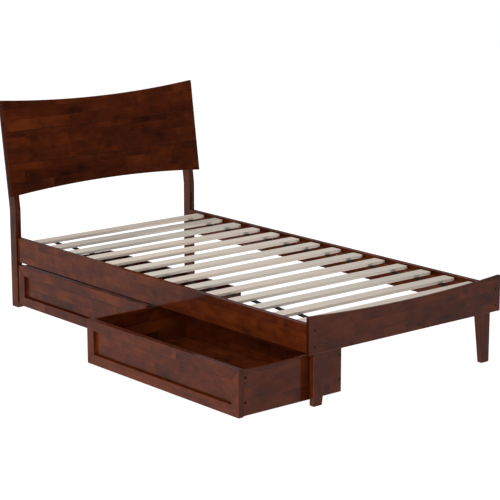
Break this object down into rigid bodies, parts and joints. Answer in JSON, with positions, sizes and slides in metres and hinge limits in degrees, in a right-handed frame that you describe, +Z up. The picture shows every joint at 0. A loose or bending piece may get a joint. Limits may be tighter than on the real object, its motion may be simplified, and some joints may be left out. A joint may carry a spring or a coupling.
{
  "type": "platform bed with storage drawers",
  "caption": "Single platform bed with a raked, curved plank headboard, a low footboard, a slatted deck and rolling storage drawers under one side.",
  "frame": {"origin": "on the floor under the middle of the whole footprint, with the foot drawer pulled out", "axes": "+Z up, +Y towards the headboard, -X towards the side that the drawers pull out of"},
  "size_m": [1.397, 2.1763, 0.9758],
  "materials": {
    "walnut_stain": "walnut stain under satin lacquer",
    "slat_wood": "planed and unfinished",
    "webbing": "woven webbing",
    "hook_steel": "zinc plated",
    "wheel_plastic": "moulded"
  },
  "bodies": {
    "bed": {"head_post_left": "walnut_stain", "foot_leg_left": "walnut_stain", "side_rail_left": "walnut_stain", "hook_plate_left": "hook_steel", "slat_ledger_left": "walnut_stain", "slat_strap_left": "webbing", "head_post_right": "walnut_stain", "foot_leg_right": "walnut_stain", "side_rail_right": "walnut_stain", "hook_plate_right": "hook_steel", "slat_ledger_right": "walnut_stain", "slat_strap_right": "webbing", "headboard_plank_lower": "walnut_stain", "headboard_plank_middle": "walnut_stain", "headboard_plank_upper": "walnut_stain", "footboard": "walnut_stain", "slat_01": "slat_wood", "slat_02": "slat_wood", "slat_03": "slat_wood", "slat_04": "slat_wood", "slat_05": "slat_wood", "slat_06": "slat_wood", "slat_07": "slat_wood", "slat_08": "slat_wood", "slat_09": "slat_wood", "slat_10": "slat_wood", "slat_11": "slat_wood", "slat_12": "slat_wood", "slat_13": "slat_wood", "slat_14": "slat_wood"},
    "head_drawer": {"head_drawer_front_lower_rail": "walnut_stain", "head_drawer_front_head_stile": "walnut_stain", "head_drawer_front_upper_rail": "walnut_stain", "head_drawer_front_foot_stile": "walnut_stain", "head_drawer_foot_side": "walnut_stain", "head_drawer_head_side": "walnut_stain", "head_drawer_front_panel": "walnut_stain", "head_drawer_back": "walnut_stain", "head_drawer_bottom": "walnut_stain", "head_drawer_foot_runner": "walnut_stain", "head_drawer_head_runner": "walnut_stain"},
    "foot_drawer": {"foot_drawer_front_lower_rail": "walnut_stain", "foot_drawer_front_head_stile": "walnut_stain", "foot_drawer_front_upper_rail": "walnut_stain", "foot_drawer_front_foot_stile": "walnut_stain", "foot_drawer_foot_side": "walnut_stain", "foot_drawer_head_side": "walnut_stain", "foot_drawer_front_panel": "walnut_stain", "foot_drawer_back": "walnut_stain", "foot_drawer_bottom": "walnut_stain", "foot_drawer_foot_runner": "walnut_stain", "foot_drawer_head_runner": "walnut_stain"},
    "head_drawer_foot_wheel_front": {"head_drawer_foot_wheel_front": "wheel_plastic"},
    "head_drawer_foot_wheel_back": {"head_drawer_foot_wheel_back": "wheel_plastic"},
    "head_drawer_head_wheel_front": {"head_drawer_head_wheel_front": "wheel_plastic"},
    "head_drawer_head_wheel_back": {"head_drawer_head_wheel_back": "wheel_plastic"},
    "foot_drawer_foot_wheel_front": {"foot_drawer_foot_wheel_front": "wheel_plastic"},
    "foot_drawer_foot_wheel_back": {"foot_drawer_foot_wheel_back": "wheel_plastic"},
    "foot_drawer_head_wheel_front": {"foot_drawer_head_wheel_front": "wheel_plastic"},
    "foot_drawer_head_wheel_back": {"foot_drawer_head_wheel_back": "wheel_plastic"}
  },
  "joints": [
    {"name": "head_drawer_roll", "type": "slide", "parent": "bed", "child": "head_drawer", "axis": [-1, 0, 0], "range_m": [0, 0.5]},
    {"name": "foot_drawer_roll", "type": "slide", "parent": "bed", "child": "foot_drawer", "axis": [-1, 0, 0], "range_m": [-0.315, 0.185]},
    {"name": "head_drawer_foot_wheel_front_spin", "type": "hinge", "parent": "head_drawer", "child": "head_drawer_foot_wheel_front", "pos_m": [-0.292, 0.0275, 0.015], "axis": [0, -1, 0], "continuous": true},
    {"name": "head_drawer_foot_wheel_back_spin", "type": "hinge", "parent": "head_drawer", "child": "head_drawer_foot_wheel_back", "pos_m": [0.077, 0.0275, 0.015], "axis": [0, -1, 0], "continuous": true},
    {"name": "head_drawer_head_wheel_front_spin", "type": "hinge", "parent": "head_drawer", "child": "head_drawer_head_wheel_front", "pos_m": [-0.292, 0.898, 0.015], "axis": [0, -1, 0], "continuous": true},
    {"name": "head_drawer_head_wheel_back_spin", "type": "hinge", "parent": "head_drawer", "child": "head_drawer_head_wheel_back", "pos_m": [0.077, 0.898, 0.015], "axis": [0, -1, 0], "continuous": true},
    {"name": "foot_drawer_foot_wheel_front_spin", "type": "hinge", "parent": "foot_drawer", "child": "foot_drawer_foot_wheel_front", "pos_m": [-0.607, -0.971, 0.015], "axis": [0, -1, 0], "continuous": true},
    {"name": "foot_drawer_foot_wheel_back_spin", "type": "hinge", "parent": "foot_drawer", "child": "foot_drawer_foot_wheel_back", "pos_m": [-0.238, -0.971, 0.015], "axis": [0, -1, 0], "continuous": true},
    {"name": "foot_drawer_head_wheel_front_spin", "type": "hinge", "parent": "foot_drawer", "child": "foot_drawer_head_wheel_front", "pos_m": [-0.607, -0.1005, 0.015], "axis": [0, -1, 0], "continuous": true},
    {"name": "foot_drawer_head_wheel_back_spin", "type": "hinge", "parent": "foot_drawer", "child": "foot_drawer_head_wheel_back", "pos_m": [-0.238, -0.1005, 0.015], "axis": [0, -1, 0], "continuous": true}
  ],
  "couplings": [
    {"joint": "head_drawer_foot_wheel_front_spin", "follows": "head_drawer_roll", "rad_per_m": 66.667},
    {"joint": "head_drawer_foot_wheel_back_spin", "follows": "head_drawer_roll", "rad_per_m": 66.667},
    {"joint": "head_drawer_head_wheel_front_spin", "follows": "head_drawer_roll", "rad_per_m": 66.667},
    {"joint": "head_drawer_head_wheel_back_spin", "follows": "head_drawer_roll", "rad_per_m": 66.667},
    {"joint": "foot_drawer_foot_wheel_front_spin", "follows": "foot_drawer_roll", "rad_per_m": 66.667},
    {"joint": "foot_drawer_foot_wheel_back_spin", "follows": "foot_drawer_roll", "rad_per_m": 66.667},
    {"joint": "foot_drawer_head_wheel_front_spin", "follows": "foot_drawer_roll", "rad_per_m": 66.667},
    {"joint": "foot_drawer_head_wheel_back_spin", "follows": "foot_drawer_roll", "rad_per_m": 66.667}
  ]
}
